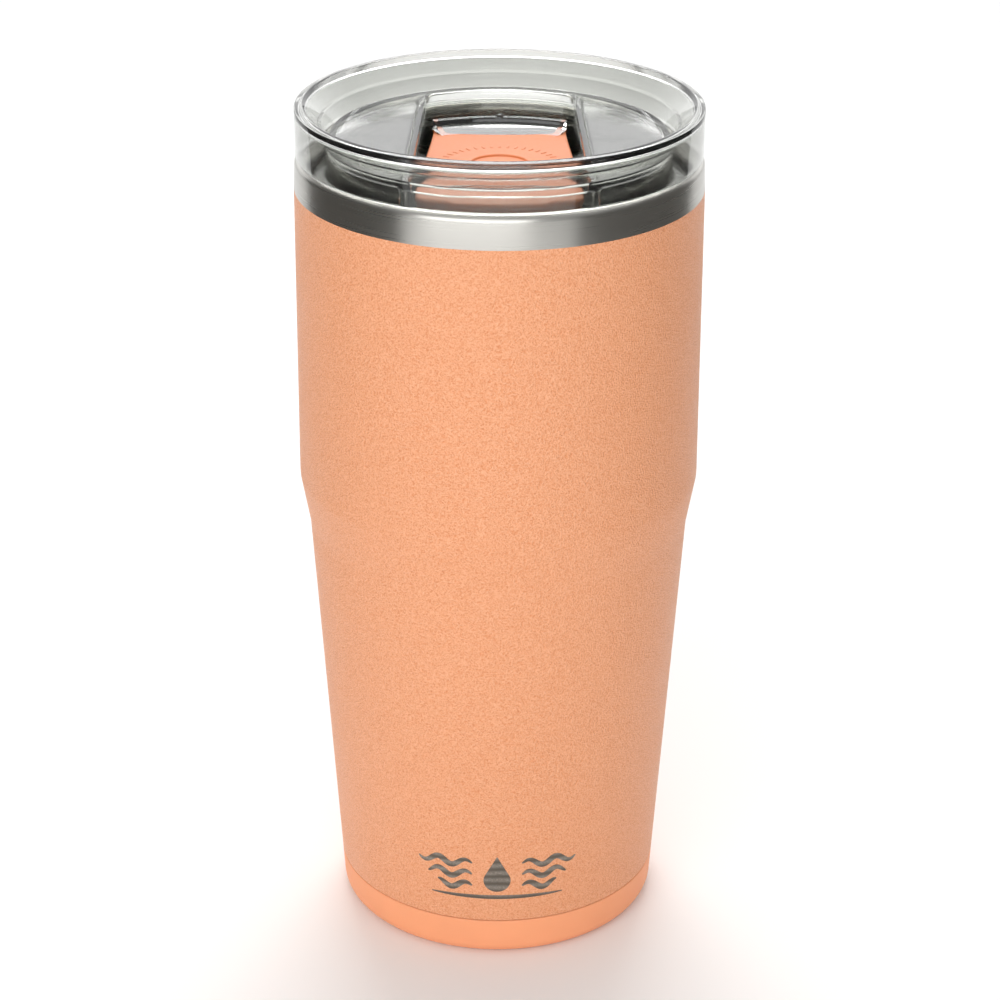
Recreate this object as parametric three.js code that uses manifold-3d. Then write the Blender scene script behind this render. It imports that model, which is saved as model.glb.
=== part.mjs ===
// Insulated steel tumbler with a clear press-in lid and a flip lever that closes the sip slot and the straw hole.
// Millimetres, +Z up. Origin: centre of the flat face the tumbler stands on. Front (etched mark) faces -Y.
import * as THREE from "three";
import { mergeVertices } from "three/addons/utils/BufferGeometryUtils.js";
import Module from "manifold-3d";

const wasm = await Module();
wasm.setup();

// ---- driving dimensions ----
const RIM_TOP_Z = 181.2;
const LIP_TOP_Z = 170.8;
const GAP = 0.3;
const STEEL = 0.6;
const TURNS = 44;

// outer silhouette of the steel body
const NECK_R = 41.6;
const BAND_R = 41.9;
const BAND_Z = 164.1;
const SHOULDER_R = 42.2;
const SHOULDER_Z = 102.3;
const WAIST_R = 40.2;
const WAIST_Z = 89.5;
const SEAM_R = 35.0;
const SEAM_Z = 9.3;
const FOOT_R = 33.3;
const FOOT_Z = 2.6;
const LIP_ROLL = 1.5;

// inner vessel
const VESSEL_INSET = 4.0;
const VESSEL_FLOOR_Z = 12.6;
const VESSEL_CORNER = 9;

// boot under the tumbler
const BOOT_FLAT_R = 30.8;
const BOOT_ROUND = 3.8;
const BOOT_FLOOR = 2.3;
const BOOT_RECESS_R = 26;
const BOOT_RECESS = 0.7;

// lid
const WALL = 1.8;
const DECK_Z = RIM_TOP_Z - 6.6;
const DECK_R = 33.6;
const RIM_R = 41.5;
const RIM_INNER_R = 39.8;
const PLUG_R = 37.0;
const PLUG_BOTTOM_Z = 154.6;
const SHELF_Z = DECK_Z - WALL - 0.1;
const GROOVE_LOW_Z = 156.0;
const GROOVE_HIGH_Z = 159.6;
const GROOVE_R = 35.0;

// channel in the deck that holds the lever; its far end is the finger well
const CHANNEL_FLOOR_Z = 162.0;
const CHANNEL_NEAR_Y = -31.4;
const CHANNEL_NEAR_HALF = 17.3;
const CHANNEL_FAR_HALF = 15.4;
const WELL_FAR_Y = 29.8;
const WELL_BOW = 2.3;
const RAIL = 0.5;

// openings in the channel floor
const SIP_Y = 10.5;
const SIP_HALF = 8;
const SIP_HALF_DEPTH = 2.6;
const STRAW_Y = -9;
const STRAW_R = 4.7;
const SEAT_Z = 163.6;
const SEAT_WIDTH = 1.2;

// flip lever
const HINGE_Y = -26;
const HINGE_Z = 167.4;
const PIN_R = 1.0;
const PIN_HALF = 18.1;
const BARREL_R = 2.0;
const BARREL_HALF = 16;
const COVER_TOP_Z = 170.8;
const COVER_THICK = 1.2;
const CARRIER_TOP_Z = COVER_TOP_Z - COVER_THICK - GAP;
const CARRIER_LOW_Z = 167.9;
const ARC_CENTRE_Y = -15.4;
const BAR_OUTER_R = 34.0;
const BAR_TOP_Z = 172.9;
const SEAL_TOP_Z = CARRIER_LOW_Z - GAP;
const SEAL_FLANGE_Z = SEAT_Z + GAP;

// ---- helpers ----
const v = (x, y) => new THREE.Vector2(x, y);

function curve(from, control, to, steps) {
  return new THREE.QuadraticBezierCurve(v(...from), v(...control), v(...to)).getPoints(steps);
}

function roundArc(cx, cz, radius, fromDeg, toDeg, steps) {
  const arc = new THREE.EllipseCurve(
    cx,
    cz,
    radius,
    radius,
    THREE.MathUtils.degToRad(fromDeg),
    THREE.MathUtils.degToRad(toDeg),
    toDeg < fromDeg,
  );
  return arc.getPoints(steps);
}

// Solid of revolution about +Z; the profile is (radius, height), up the outside and down the inside.
function turned(points, closed) {
  const ring = closed ? [...points, points[0].clone()] : points;
  return new THREE.LatheGeometry(ring, TURNS).rotateX(Math.PI / 2);
}

function extruded(shape, z0, z1, segments = 6) {
  const options = { depth: z1 - z0, bevelEnabled: false, curveSegments: segments };
  return new THREE.ExtrudeGeometry(shape, options).translate(0, 0, z0);
}

function disc(radius, z0, z1, x = 0, y = 0, topRadius = radius) {
  const g = new THREE.CylinderGeometry(topRadius, radius, z1 - z0, 32);
  return g.rotateX(Math.PI / 2).translate(x, y, (z0 + z1) / 2);
}

function solid(geometry) {
  const g = geometry.index ? geometry.toNonIndexed() : geometry.clone();
  g.deleteAttribute("normal");
  g.deleteAttribute("uv");
  const merged = mergeVertices(g, 1e-4);
  return new wasm.Manifold(
    new wasm.Mesh({
      numProp: 3,
      vertProperties: merged.attributes.position.array,
      triVerts: new Uint32Array(merged.index.array),
    }),
  );
}

function surface(body) {
  const m = body.getMesh();
  const g = new THREE.BufferGeometry();
  g.setAttribute("position", new THREE.BufferAttribute(new Float32Array(m.vertProperties), 3));
  g.setIndex(new THREE.BufferAttribute(new Uint32Array(m.triVerts), 1));
  const flat = g.toNonIndexed();
  flat.computeVertexNormals();
  return flat;
}

const tumbler = new THREE.Group();
tumbler.name = "insulated_tumbler";

function piece(name, geometry, color, roughness, metalness) {
  const material = new THREE.MeshStandardMaterial({ color, roughness, metalness });
  const mesh = new THREE.Mesh(geometry, material);
  mesh.name = name;
  tumbler.add(mesh);
}

const COAT = 0xf2a478;
const SMOOTH_ORANGE = 0xf7a172;
const BARE_STEEL = 0xb9b7b2;
const CLEAR = 0xd9dbd7;
const SILICONE = 0xe9e7e0;

// ---- steel body ----
const waistSlope = (WAIST_R - SEAM_R) / (WAIST_Z - SEAM_Z);

// Outside of the body from the boot seam to the neck, moved inward by `inset`.
function bodyWall(inset, lowZ, highZ) {
  const taper = (z) => SEAM_R + waistSlope * (z - SEAM_Z) - inset;
  const mid = (SHOULDER_Z + WAIST_Z) / 2;
  const lower = curve(
    [WAIST_R - inset, WAIST_Z],
    [WAIST_R + waistSlope * 3 - inset, WAIST_Z + 3],
    [(WAIST_R + SHOULDER_R) / 2 - inset, mid],
    2,
  );
  const upper = curve(
    [(WAIST_R + SHOULDER_R) / 2 - inset, mid],
    [SHOULDER_R - inset, SHOULDER_Z - 2.5],
    [SHOULDER_R - inset, SHOULDER_Z],
    2,
  );
  return [v(taper(lowZ), lowZ), ...lower, ...upper.slice(1), v(BAND_R - inset, BAND_Z), v(NECK_R - inset, highZ)];
}

const neckTop = LIP_TOP_Z - LIP_ROLL;
const shellOutside = [
  v(FOOT_R - 0.4, FOOT_Z),
  v(FOOT_R, FOOT_Z + 1.2),
  v(FOOT_R, SEAM_Z - 0.3),
  ...bodyWall(0, SEAM_Z, neckTop),
  ...roundArc(NECK_R - LIP_ROLL, neckTop, LIP_ROLL, 0, 90, 4).slice(1),
];
const shellInside = [
  v(NECK_R - LIP_ROLL, LIP_TOP_Z - STEEL),
  ...bodyWall(STEEL, SEAM_Z + 1, neckTop - 0.6).reverse(),
  v(FOOT_R - STEEL, SEAM_Z - 0.6),
  v(FOOT_R - STEEL - 0.2, FOOT_Z),
];
piece("outer_shell", turned([...shellOutside, ...shellInside], true), COAT, 0.6, 0.1);

const vesselLow = VESSEL_FLOOR_Z + VESSEL_CORNER;
const vesselOuterLow = bodyWall(VESSEL_INSET - STEEL, vesselLow, neckTop - 0.6);
const vesselInner = bodyWall(VESSEL_INSET, vesselLow, neckTop).reverse();
const cornerR = vesselInner[vesselInner.length - 1].x - VESSEL_CORNER;
const seamR = NECK_R - LIP_ROLL - GAP;
const vesselPoints = [
  v(0, VESSEL_FLOOR_Z - STEEL),
  ...roundArc(cornerR, vesselLow, VESSEL_CORNER + STEEL, -90, -6, 4),
  ...vesselOuterLow.slice(1),
  v(seamR, LIP_TOP_Z - STEEL),
  v(seamR, LIP_TOP_Z),
  ...curve([seamR - 0.3, LIP_TOP_Z], [NECK_R - VESSEL_INSET, LIP_TOP_Z], [NECK_R - VESSEL_INSET, neckTop], 4),
  ...vesselInner.slice(1, -1),
  ...roundArc(cornerR, vesselLow, VESSEL_CORNER, -4, -90, 4),
  v(0, VESSEL_FLOOR_Z),
];
piece("inner_vessel", turned(vesselPoints, false), BARE_STEEL, 0.3, 1);

// ---- closed base of the vacuum space ----
const PLATE_R = FOOT_R - STEEL - 0.2 - GAP;
const PLATE_Z = 5;
const DIMPLE_R = 4.6;
const DIMPLE_RISE = 1.2;
const platePoints = [
  v(0, PLATE_Z + DIMPLE_RISE - STEEL),
  v(DIMPLE_R - 1, PLATE_Z + DIMPLE_RISE - STEEL),
  v(DIMPLE_R, PLATE_Z - STEEL),
  v(PLATE_R - STEEL - 0.6, PLATE_Z - STEEL),
  v(PLATE_R - STEEL, PLATE_Z - STEEL - 0.6),
  v(PLATE_R - STEEL, FOOT_Z + 0.2),
  v(PLATE_R, FOOT_Z + 0.2),
  ...roundArc(PLATE_R - 1.2, PLATE_Z - 1.2, 1.2, 0, 90, 3),
  v(DIMPLE_R + STEEL, PLATE_Z),
  v(DIMPLE_R - 0.4, PLATE_Z + DIMPLE_RISE),
  v(0, PLATE_Z + DIMPLE_RISE),
];
piece("base_plate", turned(platePoints, false), BARE_STEEL, 0.35, 1);

const BEAD_R = 3.2;
const beadTop = PLATE_Z + DIMPLE_RISE - STEEL - GAP;
const beadPoints = [
  v(0, beadTop - 1.5),
  ...curve([0.5, beadTop - 1.5], [BEAD_R, beadTop - 1.4], [BEAD_R, beadTop - 0.3], 4),
  v(BEAD_R - 0.3, beadTop),
  v(0, beadTop),
];
piece("vacuum_seal_bead", turned(beadPoints, false), 0x4b5157, 0.2, 0);

// Getter tablet held on the inside of the base plate, clear of the dimple.
const GETTER_Y = 15;
const GETTER_R = 5;
const GETTER_Z = PLATE_Z + GAP + 0.6 + GAP;
piece("getter_tablet", disc(GETTER_R, GETTER_Z, GETTER_Z + 2, 0, GETTER_Y), 0x6f6a64, 0.8, 0.3);

const CLIP_WALL = 0.6;
const clipLow = PLATE_Z + GAP;
const clipCup = solid(disc(GETTER_R + GAP + CLIP_WALL, clipLow, GETTER_Z + 1.4, 0, GETTER_Y));
const clipHollow = solid(disc(GETTER_R + GAP, GETTER_Z - GAP, GETTER_Z + 9, 0, GETTER_Y));
const clipTab = solid(new THREE.BoxGeometry(20, 5, CLIP_WALL).translate(0, GETTER_Y, clipLow + CLIP_WALL / 2));
piece("getter_clip", surface(clipCup.add(clipTab).subtract(clipHollow)), BARE_STEEL, 0.4, 1);

// ---- soft boot the tumbler stands on ----
const bootTop = SEAM_Z - GAP;
const bootWallR = BOOT_FLAT_R + BOOT_ROUND;
const bootInnerR = FOOT_R + GAP;
const bootPoints = [
  v(0, BOOT_RECESS),
  v(BOOT_RECESS_R, BOOT_RECESS),
  v(BOOT_RECESS_R + 0.7, 0),
  ...roundArc(BOOT_FLAT_R, BOOT_ROUND, BOOT_ROUND, -90, 0, 5),
  v(SEAM_R - 0.05, bootTop - 0.3),
  v(SEAM_R - 0.3, bootTop),
  v(bootInnerR, bootTop - 0.2),
  v(bootInnerR, FOOT_Z + 0.6),
  v(bootInnerR - 0.9, BOOT_FLOOR),
  v(0, BOOT_FLOOR),
];
piece("base_boot", turned(bootPoints, false), SMOOTH_ORANGE, 0.65, 0);

// ---- clear lid: hollow rim ----
const rimLow = LIP_TOP_Z + GAP;
const rimRoll = (RIM_R - RIM_INNER_R) / 2;
const slope = (RIM_TOP_Z - DECK_Z) / (RIM_INNER_R - DECK_R);
const toeR = DECK_R + GAP;
const toeLow = SHELF_Z + GAP;
const underSlope = (r) => toeLow + slope * (r - toeR - 1.9);
const rimPoints = [
  v(RIM_R, rimLow),
  ...roundArc(RIM_R - rimRoll, RIM_TOP_Z - rimRoll, rimRoll, 0, 165, 6),
  v(toeR + 1.9, DECK_Z + slope * 1.35),
  ...curve([toeR + 1.6, DECK_Z + slope], [toeR + 0.9, DECK_Z], [toeR, DECK_Z], 4),
  v(toeR, toeLow),
  v(toeR + 1.9, toeLow),
  v(RIM_R - WALL - 1.2, underSlope(RIM_R - WALL - 1.2)),
  ...curve(
    [RIM_R - WALL - 0.8, underSlope(RIM_R - WALL - 0.8)],
    [RIM_R - WALL, underSlope(RIM_R - WALL)],
    [RIM_R - WALL, underSlope(RIM_R - WALL) - 1.6],
    3,
  ),
  v(RIM_R - WALL, rimLow),
];
piece("lid_rim", turned(rimPoints, true), CLEAR, 0.05, 0);

// ---- clear lid: deck, channel for the lever, and plug that goes into the neck ----
function channelOutline(grow, toe = 0) {
  const near = CHANNEL_NEAR_Y - grow - toe;
  const nearHalf = CHANNEL_NEAR_HALF + grow;
  const farHalf = CHANNEL_FAR_HALF + grow;
  const far = WELL_FAR_Y + grow;
  const turn = 3.6 + grow;
  const farTurn = 4 + grow / 2;
  const side = far - WELL_BOW - farTurn;
  const s = new THREE.Shape();
  s.moveTo(-nearHalf + turn, near);
  s.lineTo(nearHalf - turn, near);
  s.quadraticCurveTo(nearHalf, near, nearHalf, near + turn);
  s.lineTo(farHalf, side);
  s.quadraticCurveTo(farHalf, far - WELL_BOW - 0.6, farHalf - farTurn, far - WELL_BOW);
  s.quadraticCurveTo(0, far + WELL_BOW, -farHalf + farTurn, far - WELL_BOW);
  s.quadraticCurveTo(-farHalf, far - WELL_BOW - 0.6, -farHalf, side);
  s.lineTo(-nearHalf, near + turn);
  s.quadraticCurveTo(-nearHalf, near, -nearHalf + turn, near);
  return s;
}

// Slot with round ends, `half` long and `depth` wide from its centre line, across X.
function slotOutline(half, depth, y) {
  const s = new THREE.Shape();
  s.moveTo(-half + depth, y - depth);
  s.lineTo(half - depth, y - depth);
  s.absarc(half - depth, y, depth, -Math.PI / 2, Math.PI / 2, false);
  s.lineTo(-half + depth, y + depth);
  s.absarc(-half + depth, y, depth, Math.PI / 2, (3 * Math.PI) / 2, false);
  return s;
}

const plugPoints = [
  v(0, DECK_Z - WALL),
  v(DECK_R - 1, DECK_Z - WALL),
  v(PLUG_R - WALL, SHELF_Z - WALL),
  v(PLUG_R - WALL, CHANNEL_FLOOR_Z - WALL),
  v(GROOVE_R - WALL, GROOVE_HIGH_Z - 0.6),
  v(GROOVE_R - WALL, PLUG_BOTTOM_Z),
  v(PLUG_R - 0.8, PLUG_BOTTOM_Z),
  v(PLUG_R, PLUG_BOTTOM_Z + 0.8),
  v(PLUG_R, GROOVE_LOW_Z),
  v(GROOVE_R, GROOVE_LOW_Z),
  v(GROOVE_R, GROOVE_HIGH_Z),
  v(PLUG_R, GROOVE_HIGH_Z),
  v(PLUG_R, SHELF_Z),
  v(DECK_R, SHELF_Z),
  v(DECK_R, DECK_Z - 0.3),
  v(DECK_R - 0.3, DECK_Z),
  v(0, DECK_Z),
];
const FLOOR_LOW_Z = CHANNEL_FLOOR_Z - WALL;
const tubSpace = solid(disc(PLUG_R - 0.9, FLOOR_LOW_Z - 1, SHELF_Z - 0.2)).add(
  solid(disc(DECK_R - 0.1, SHELF_Z - 1, DECK_Z)),
);
const tub = solid(extruded(channelOutline(WALL, 4), FLOOR_LOW_Z, DECK_Z - WALL / 2)).intersect(tubSpace);
const rails = solid(extruded(channelOutline(1.3), SHELF_Z - 0.4, DECK_Z + RAIL)).intersect(
  solid(disc(DECK_R - 0.6, SHELF_Z - 1, DECK_Z + 2)),
);
const channel = solid(extruded(channelOutline(0), CHANNEL_FLOOR_Z, DECK_Z + 5));
const sipSeat = solid(
  extruded(slotOutline(SIP_HALF + SEAT_WIDTH, SIP_HALF_DEPTH + SEAT_WIDTH, SIP_Y), FLOOR_LOW_Z, SEAT_Z),
);
const strawSeat = solid(disc(STRAW_R + SEAT_WIDTH, FLOOR_LOW_Z, SEAT_Z, 0, STRAW_Y));
const sipSlot = solid(extruded(slotOutline(SIP_HALF, SIP_HALF_DEPTH, SIP_Y), FLOOR_LOW_Z - 1, SEAT_Z + 1));
const strawHole = solid(disc(STRAW_R, FLOOR_LOW_Z - 1, SEAT_Z + 1, 0, STRAW_Y));

function along(radius, half) {
  const g = new THREE.CylinderGeometry(radius, radius, 2 * half, 20);
  return solid(g.rotateZ(Math.PI / 2).translate(0, HINGE_Y, HINGE_Z));
}

const deck = solid(turned(plugPoints, false))
  .add(tub)
  .add(rails)
  .subtract(channel)
  .add(sipSeat)
  .add(strawSeat)
  .subtract(sipSlot)
  .subtract(strawHole)
  .subtract(along(PIN_R + GAP, PIN_HALF + GAP));
piece("lid_deck", surface(deck), CLEAR, 0.05, 0);

// ---- silicone ring in the plug's groove ----
const finTip = NECK_R - VESSEL_INSET - 0.1;
const gasketLow = GROOVE_LOW_Z + GAP;
const gasketHigh = GROOVE_HIGH_Z - GAP;
const gasketMid = (gasketLow + gasketHigh) / 2;
const gasketPoints = [
  v(GROOVE_R + GAP, gasketLow),
  v(PLUG_R - 0.4, gasketLow),
  v(finTip, gasketLow + 0.5),
  v(finTip, gasketLow + 0.9),
  v(PLUG_R - 0.4, gasketMid),
  v(finTip, gasketHigh - 0.6),
  v(finTip, gasketHigh - 0.2),
  v(PLUG_R - 0.6, gasketHigh),
  v(GROOVE_R + GAP, gasketHigh),
];
piece("lid_gasket", turned(gasketPoints, true), SILICONE, 0.6, 0);

// ---- flip lever ----
function coverOutline(grow) {
  const nearHalf = 16.4 + grow;
  const earHalf = 13.5 + grow;
  const tip = 13.6 + grow;
  const notch = 9.9 + grow;
  const notchEnd = 8.3 + grow;
  const nose = -30 - grow;
  const s = new THREE.Shape();
  s.moveTo(-nearHalf + 3, nose + 0.9);
  s.quadraticCurveTo(0, nose - 0.9, nearHalf - 3, nose + 0.9);
  s.quadraticCurveTo(nearHalf, nose + 1.1, nearHalf - 0.05, nose + 4);
  s.lineTo(earHalf + 0.15, 10.6);
  s.quadraticCurveTo(earHalf, tip, 12.7, tip);
  s.bezierCurveTo(11.5 - grow, tip - 0.3, 11.8 - grow, notchEnd, 9.4 - grow, notchEnd);
  s.quadraticCurveTo(0, 2 * notch - notchEnd, -9.4 + grow, notchEnd);
  s.bezierCurveTo(-11.8 + grow, notchEnd, -11.5 + grow, tip - 0.3, -12.7, tip);
  s.quadraticCurveTo(-earHalf, tip, -earHalf - 0.15, 10.6);
  s.lineTo(-nearHalf + 0.05, nose + 4);
  s.quadraticCurveTo(-nearHalf, nose + 1.1, -nearHalf + 3, nose + 0.9);
  return s;
}

const EDGE = 0.35;
const coverPlate = new THREE.ExtrudeGeometry(coverOutline(-EDGE), {
  depth: COVER_THICK - 2 * EDGE,
  bevelEnabled: true,
  bevelThickness: EDGE,
  bevelSize: EDGE,
  bevelSegments: 1,
  curveSegments: 6,
}).translate(0, 0, COVER_TOP_Z - COVER_THICK + EDGE);
const noseBlock = solid(extruded(coverOutline(0), COVER_TOP_Z - 3.7, COVER_TOP_Z - COVER_THICK / 2));
const noseLip = noseBlock
  .intersect(solid(new THREE.BoxGeometry(60, 3, 20).translate(0, -29.8, COVER_TOP_Z)))
  .subtract(along(BARREL_R + GAP, BARREL_HALF + 1));
const ring = new THREE.LatheGeometry(
  [v(5.6, 0), v(7.1, 0), ...curve([7.1, 0.6], [6.35, 1.4], [5.6, 0.6], 4), v(5.6, 0)],
  32,
);
ring.rotateX(Math.PI / 2).translate(0, STRAW_Y, COVER_TOP_Z - 0.5);
const cover = solid(coverPlate).add(noseLip).add(solid(ring));
piece("lever_cover", surface(cover), SMOOTH_ORANGE, 0.45, 0);

// Clear carrier under the cover: plate, hinge barrel, and the scooped thumb lip past the cover's far edge.
const plateShape = new THREE.Shape();
plateShape.moveTo(-15.6, HINGE_Y);
plateShape.lineTo(15.6, HINGE_Y);
plateShape.lineTo(13.2, 12);
plateShape.quadraticCurveTo(13.1, 13.2, 12, 13.2);
plateShape.lineTo(-12, 13.2);
plateShape.quadraticCurveTo(-13.1, 13.2, -13.2, 12);
const carrierPlate = solid(extruded(plateShape, CARRIER_LOW_Z, CARRIER_TOP_Z));
const barInner = BAR_OUTER_R - 1.6;
const scoopPoints = [
  v(22, CARRIER_LOW_Z),
  v(BAR_OUTER_R, CARRIER_LOW_Z),
  v(BAR_OUTER_R, BAR_TOP_Z - 0.4),
  v(BAR_OUTER_R - 0.4, BAR_TOP_Z),
  v(barInner + 0.4, BAR_TOP_Z),
  v(barInner, BAR_TOP_Z - 0.5),
  ...curve([barInner - 0.2, BAR_TOP_Z - 0.9], [30, COVER_TOP_Z - 0.5], [25, COVER_TOP_Z - 0.4], 5),
  v(22, COVER_TOP_Z - 0.4),
];
const scoopRing = solid(turned(scoopPoints, true).translate(0, ARC_CENTRE_Y, 0));
const scoopBox = solid(new THREE.BoxGeometry(28, 16, 20).translate(0, 15, COVER_TOP_Z));
const coverSpace = solid(extruded(coverOutline(GAP), CARRIER_TOP_Z - 0.05, BAR_TOP_Z + 2));
const scoop = scoopRing.intersect(scoopBox).subtract(coverSpace);
const nub = solid(new THREE.SphereGeometry(0.9, 12, 8).translate(0, 17.8, BAR_TOP_Z));
const carrier = carrierPlate.add(along(BARREL_R, BARREL_HALF)).add(scoop).add(nub).subtract(along(PIN_R + GAP, 30));
piece("lever_carrier", surface(carrier), CLEAR, 0.05, 0);

const pin = new THREE.CylinderGeometry(PIN_R, PIN_R, 2 * PIN_HALF, 20);
piece("hinge_pin", pin.rotateZ(Math.PI / 2).translate(0, HINGE_Y, HINGE_Z), BARE_STEEL, 0.25, 1);

// ---- soft seals under the carrier ----
const SEAL_TIP_Z = FLOOR_LOW_Z + 0.8;
const sipFlange = solid(
  extruded(slotOutline(SIP_HALF + 0.9, SIP_HALF_DEPTH + 0.9, SIP_Y), SEAL_FLANGE_Z, SEAL_TOP_Z),
);
const sipNose = solid(extruded(slotOutline(SIP_HALF - 0.5, SIP_HALF_DEPTH - 0.5, SIP_Y), SEAL_TIP_Z, SEAL_TOP_Z - 1));
piece("sip_seal", surface(sipFlange.add(sipNose)), SILICONE, 0.6, 0);

const strawFlange = solid(disc(STRAW_R + 0.9, SEAL_FLANGE_Z, SEAL_TOP_Z, 0, STRAW_Y));
const strawNose = solid(disc(STRAW_R - 1.1, SEAL_TIP_Z, SEAL_FLANGE_Z + 1, 0, STRAW_Y, STRAW_R - 0.4));
piece("straw_seal", surface(strawFlange.add(strawNose)), SILICONE, 0.6, 0);

export default tumbler;
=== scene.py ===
"""Insulated steel tumbler with a clear press-in lid and a flip lever.

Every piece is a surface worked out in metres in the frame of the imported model: +Z up, the origin at the
centre of the face it stands on, and the etched front towards -Y.
"""

from __future__ import annotations

import logging
import math
from dataclasses import dataclass, field
from enum import Enum

import bpy
import numpy as np
from mathutils import Matrix, Vector


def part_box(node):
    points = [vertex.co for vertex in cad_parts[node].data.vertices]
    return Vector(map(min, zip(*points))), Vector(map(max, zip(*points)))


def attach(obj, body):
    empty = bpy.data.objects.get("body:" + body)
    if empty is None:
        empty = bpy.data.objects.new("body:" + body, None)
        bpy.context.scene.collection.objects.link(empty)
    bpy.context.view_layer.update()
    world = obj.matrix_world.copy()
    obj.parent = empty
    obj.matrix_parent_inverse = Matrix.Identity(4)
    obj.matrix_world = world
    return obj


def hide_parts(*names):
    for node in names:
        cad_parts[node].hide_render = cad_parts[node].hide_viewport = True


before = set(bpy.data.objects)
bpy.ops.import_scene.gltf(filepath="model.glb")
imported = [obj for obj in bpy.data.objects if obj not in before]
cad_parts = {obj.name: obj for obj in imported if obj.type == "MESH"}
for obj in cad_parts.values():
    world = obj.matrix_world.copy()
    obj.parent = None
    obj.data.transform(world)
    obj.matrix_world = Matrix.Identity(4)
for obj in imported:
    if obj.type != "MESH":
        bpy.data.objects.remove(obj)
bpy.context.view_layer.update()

MM = 0.001
TURNS = 288
LOG = logging.getLogger("tumbler")


# ---------------------------------------------------------------------------------------------------------
# Outlines and surfaces
# ---------------------------------------------------------------------------------------------------------


def rounded(corners: list[tuple[float, float, float]], steps: int = 6, closed: bool = False) -> np.ndarray:
    """Turns corners into a line whose corners are circular arcs.

    Each arc touches both of its sides: its centre lies on the bisector at radius / sin(half angle), and its
    points swing evenly from one tangent point to the other.

    Args:
        corners: Points as (first, second, corner radius), in millimetres.
        steps: Segments in each arc.
        closed: Whether the last corner joins the first.

    Returns:
        The points of the line, in metres.
    """
    data = np.array(corners, float) * MM
    point, radius = data[:, :2], np.maximum(data[:, 2:], 1e-8)
    back = np.roll(point, 1, axis=0) - point
    ahead = np.roll(point, -1, axis=0) - point
    back /= np.linalg.norm(back, axis=1, keepdims=True) + 1e-12
    ahead /= np.linalg.norm(ahead, axis=1, keepdims=True) + 1e-12
    half = np.arccos(np.clip((back * ahead).sum(1, keepdims=True), -1, 1)) / 2
    half = np.clip(half, 0.02, math.pi / 2 - 1e-4)
    bisector = back + ahead
    bisector /= np.linalg.norm(bisector, axis=1, keepdims=True) + 1e-12
    centre = point + bisector * radius / np.sin(half)
    first = point + back * radius / np.tan(half) - centre
    last = point + ahead * radius / np.tan(half) - centre
    swing = math.pi - 2 * half
    share = np.linspace(0, 1, steps + 1)[None, :, None]
    swing = swing[:, None, :]
    arcs = np.sin((1 - share) * swing) * first[:, None] + np.sin(share * swing) * last[:, None]
    arcs = arcs / np.sin(swing)
    line = (centre[:, None] + arcs).reshape(-1, 2)
    if not closed:
        line = np.vstack([point[:1], line[steps + 1 : -(steps + 1)], point[-1:]])
    keep = np.linalg.norm(line - np.roll(line, 1, axis=0), axis=1) > 2e-7
    keep[0] = True
    return line[keep]


def evenly(line: np.ndarray, count: int) -> np.ndarray:
    """Spaces points evenly along a closed line.

    Args:
        line: Points of the closed line.
        count: How many points to return.

    Returns:
        The evenly spaced points, starting at the first.
    """
    loop = np.vstack([line, line[:1]])
    run = np.concatenate([[0], np.cumsum(np.linalg.norm(np.diff(loop, axis=0), axis=1))])
    at = np.linspace(0, run[-1], count, endpoint=False)
    return np.stack([np.interp(at, run, loop[:, k]) for k in (0, 1)], axis=1)


def outward(line: np.ndarray) -> np.ndarray:
    """Unit normals of a closed counter-clockwise line: its central difference turned a quarter clockwise."""
    along = np.roll(line, -1, axis=0) - np.roll(line, 1, axis=0)
    along /= np.linalg.norm(along, axis=1, keepdims=True)
    return np.stack([along[:, 1], -along[:, 0]], axis=1)


class Ends(Enum):
    """How the first and last rows of a surface are finished."""

    CAPPED = "a flat face closes each"
    JOINED = "the last row meets the first"


def surface(name: str, rows: np.ndarray, ends: Ends) -> bpy.types.Object:
    """Makes a mesh from rows of points, each row a closed ring.

    Args:
        name: Name of the new object.
        rows: Points, shaped (rows, points in a ring, 3). Rings run counter-clockwise seen from where the
            rows are heading, so that faces point outwards.
        ends: How the first and last rows are finished.

    Returns:
        The new object, smooth except where faces meet at more than the crease angle.
    """
    count, around = rows.shape[:2]
    index = np.arange(count * around).reshape(count, around)
    side = np.roll(index, -1, axis=1)
    if ends is Ends.JOINED:
        low, low_side = index, side
        high, high_side = np.roll(index, -1, axis=0), np.roll(side, -1, axis=0)
    else:
        low, low_side, high, high_side = index[:-1], side[:-1], index[1:], side[1:]
    faces = np.stack([low, low_side, high_side, high], axis=-1).reshape(-1, 4).tolist()
    if ends is Ends.CAPPED:
        faces += [index[0, ::-1].tolist(), index[-1].tolist()]
    mesh = bpy.data.meshes.new(name)
    mesh.from_pydata(rows.reshape(-1, 3).tolist(), [], faces)
    mesh.update()
    piece = bpy.data.objects.new(name, mesh)
    bpy.context.scene.collection.objects.link(piece)
    return crease(piece)


def crease(piece: bpy.types.Object, degrees: float = 32) -> bpy.types.Object:
    """Shades a piece smooth, with sharp edges where its faces turn by more than `degrees`."""
    piece.data.shade_smooth()
    piece.data.set_sharp_from_angle(angle=math.radians(degrees))
    return piece


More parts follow.
